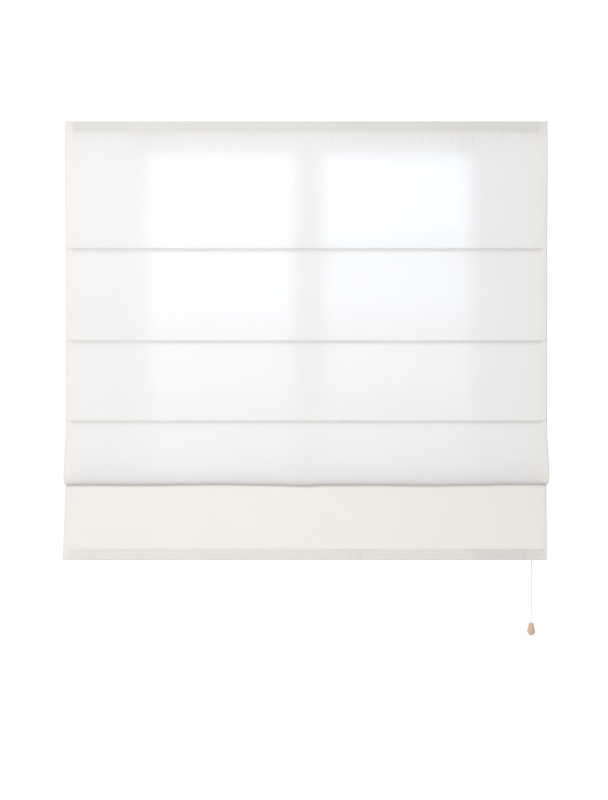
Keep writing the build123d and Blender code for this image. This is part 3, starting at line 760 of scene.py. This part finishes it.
def lift_cords():
    """Each cord from its orb up through the rings, along the rail, and down into the condenser."""
    run_z, bend = RUN_Z, CORD_BEND
    turn = [i * math.pi / 2 / 8 for i in range(9)]
    condenser_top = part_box("condenser_cap")[1].z
    orb_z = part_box("cord_orbs")[0].z + 0.003
    for name, x, lane in zip(("left", "middle", "right"), CORD_X, (-1, 1, 0)):
        node = f"lift_cord_{name}"
        start = [(x, CORD_Y, RAIL_LOW.z - 0.004)]
        over = [(x + bend - bend * math.cos(t), CORD_Y, run_z - bend + bend * math.sin(t)) for t in turn]
        y = CORD_Y + LOCK_LANE * lane
        along = []
        if lane:
            lane_y = CORD_Y + RAIL_LANE * lane
            along = [(x + 0.025, CORD_Y, run_z), (x + 0.085, lane_y, run_z)]
            along += [(CORD_X[2] + 0.035, lane_y, run_z), (PULL_X - bend - 0.012, y, run_z)]
        down = [(PULL_X - bend + bend * math.sin(t), y, run_z - bend + bend * math.cos(t)) for t in turn]
        end = [(PULL_X, y, RAIL_LOW.z - 0.006)]
        rail = cord_piece(f"{node}_in_rail", node, start + over + along + down + end)
        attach(rail, "root")
        drop_end = (PULL_X, CORD_Y + CONDENSER_LANE * lane, condenser_top - 0.004)
        drop = cord_piece(f"{node}_to_condenser", node, [end[0], drop_end])
        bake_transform(drop)
        heights = [start[0][2]] + [rod.z for rod in ROD[:3]] + [orb_z]
        for i in range(4):
            top, bottom = (x, CORD_Y, heights[i]), (x, CORD_Y, heights[i + 1])
            part = cord_piece(f"{node}_rise_{i + 1}", node, [top, bottom])
            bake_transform(part)


lift_cords()


# ---- finishes of the CAD's own pieces ----
FINISHES = {
    "rail": RAIL_MAT,
    "plastic": PLASTIC_MAT,
    "ring": RING_MAT,
    "tape": HOOK_MAT,
    "steel": STEEL_MAT,
    "brass": BRASS_MAT,
    "rod": ROD_MAT,
    "bar": BAR_MAT,
    "cord": LIFT_CORD_MAT,
    "wood": WOOD_MAT,
    "cloth": CLOTH_MAT,
}
for entry in frame["record"]["subparts"]:
    mesh = frame["nodes"][entry["node"]].data
    mesh.materials.clear()
    mesh.materials.append(FINISHES[entry["material_slot"]])


# ---- stage ----
def area_light(name, place, aim, size, power, colour=(1, 1, 1), spread=180):
    data = bpy.data.lights.new(name, "AREA")
    data.shape = "RECTANGLE"
    data.size, data.size_y = size
    data.energy = power
    data.color = colour
    data.spread = math.radians(spread)
    obj = bpy.data.objects.new(name, data)
    obj.location = place
    obj.rotation_euler = (Vector(aim) - Vector(place)).to_track_quat("-Z", "Y").to_euler()
    obj.visible_camera = False
    bpy.context.scene.collection.objects.link(obj)


PANES = ((-0.390, -0.034), (0.046, 0.408))  # the window's two lights behind the blind, left and right
PANE_TOP = -0.040
PANE_Y = 0.040
PANE_STEPS = (1.0, 0.6, 0.36, 0.16)  # shares of the power, from the top down
PANE_POWER = 0.28
PANE_COLOUR = (0.66, 0.83, 1.0)
PANE_SPREAD = 50  # degrees
FLOOR_DROP = 0.50  # below the lowest point of the blind
FLOOR_HALF = 8.0


def window_glow():
    """Soft daylight through the cloth from two window panes, weaker lower down, and from round them."""
    area_light("window_reveal", (0, 0.30, -0.42), (0, -1, -0.42), (1.15, 0.66), 0.30, (0.68, 0.84, 1.0), 120)
    height = (PANE_TOP - ROD[3].z) / len(PANE_STEPS)
    for left, right in PANES:
        x = (left + right) / 2
        size = (right - left, height)
        for i, share in enumerate(PANE_STEPS):
            z = PANE_TOP - (i + 0.5) * height
            name, power = f"pane_{i}_{left:.1f}", PANE_POWER * share
            area_light(name, (x, PANE_Y, z), (x, -1, z), size, power, PANE_COLOUR, PANE_SPREAD)


def floor():
    """A pale floor, whitest behind the blind and greyer in front of it. The grey is painted shade, which also
    sends less light up to the blind.
    """
    s = Shader("pale_floor", (0.97, 0.97, 0.97), 0.9)
    split = s.add("ShaderNodeSeparateXYZ")
    s.link(s.place, split.inputs[0])
    ease = s.add("ShaderNodeMapRange", interpolation_type="SMOOTHSTEP")
    ease.inputs["From Min"].default_value = -1.0
    ease.inputs["From Max"].default_value = 0.5
    s.link(split.outputs["Y"], ease.inputs["Value"])
    # Painted shade: the floor is greyer in front of the blind and near white behind it.
    s.colour(s.ramp(ease.outputs[0], (0.0, (0.66, 0.65, 0.63)), (1.0, (0.98, 0.98, 0.98))))
    z, half = CAD_BOX[0].z - FLOOR_DROP, FLOOR_HALF
    corners = [(-half, -half, z), (half, -half, z), (half, half, z), (-half, half, z)]
    mesh_object("floor", corners, [(0, 1, 2, 3)], s.material)


def backdrop():
    """White light from behind the blind, and a softer grey from everywhere else."""
    world = bpy.data.worlds.new("white_studio")
    world.use_nodes = True
    tree = world.node_tree
    light = tree.nodes["Background"]
    light.inputs["Color"].default_value = (1, 1, 1, 1)
    place = tree.nodes.new("ShaderNodeTexCoord")
    split = tree.nodes.new("ShaderNodeSeparateXYZ")
    ease = tree.nodes.new("ShaderNodeMapRange")
    ease.interpolation_type = "SMOOTHSTEP"
    for name, value in (("From Min", 0.5), ("From Max", 0.9), ("To Min", 0.59), ("To Max", 1.10)):
        ease.inputs[name].default_value = value
    tree.links.new(place.outputs["Generated"], split.inputs[0])
    tree.links.new(split.outputs["Y"], ease.inputs["Value"])
    tree.links.new(ease.outputs[0], light.inputs["Strength"])
    bpy.context.scene.world = world
    bpy.context.scene.view_settings.view_transform = "Standard"


def stage():
    floor()
    backdrop()
    area_light("key", (-0.6, -2.5, 0.12), (0, 0, -0.7), (1.0, 0.7), 41.0, (1.0, 0.985, 0.97))
    area_light("floor_wash", (0, 5.0, 2.0), (0, 5.0, -2), (12, 8), 250.0)
    window_glow()


stage()
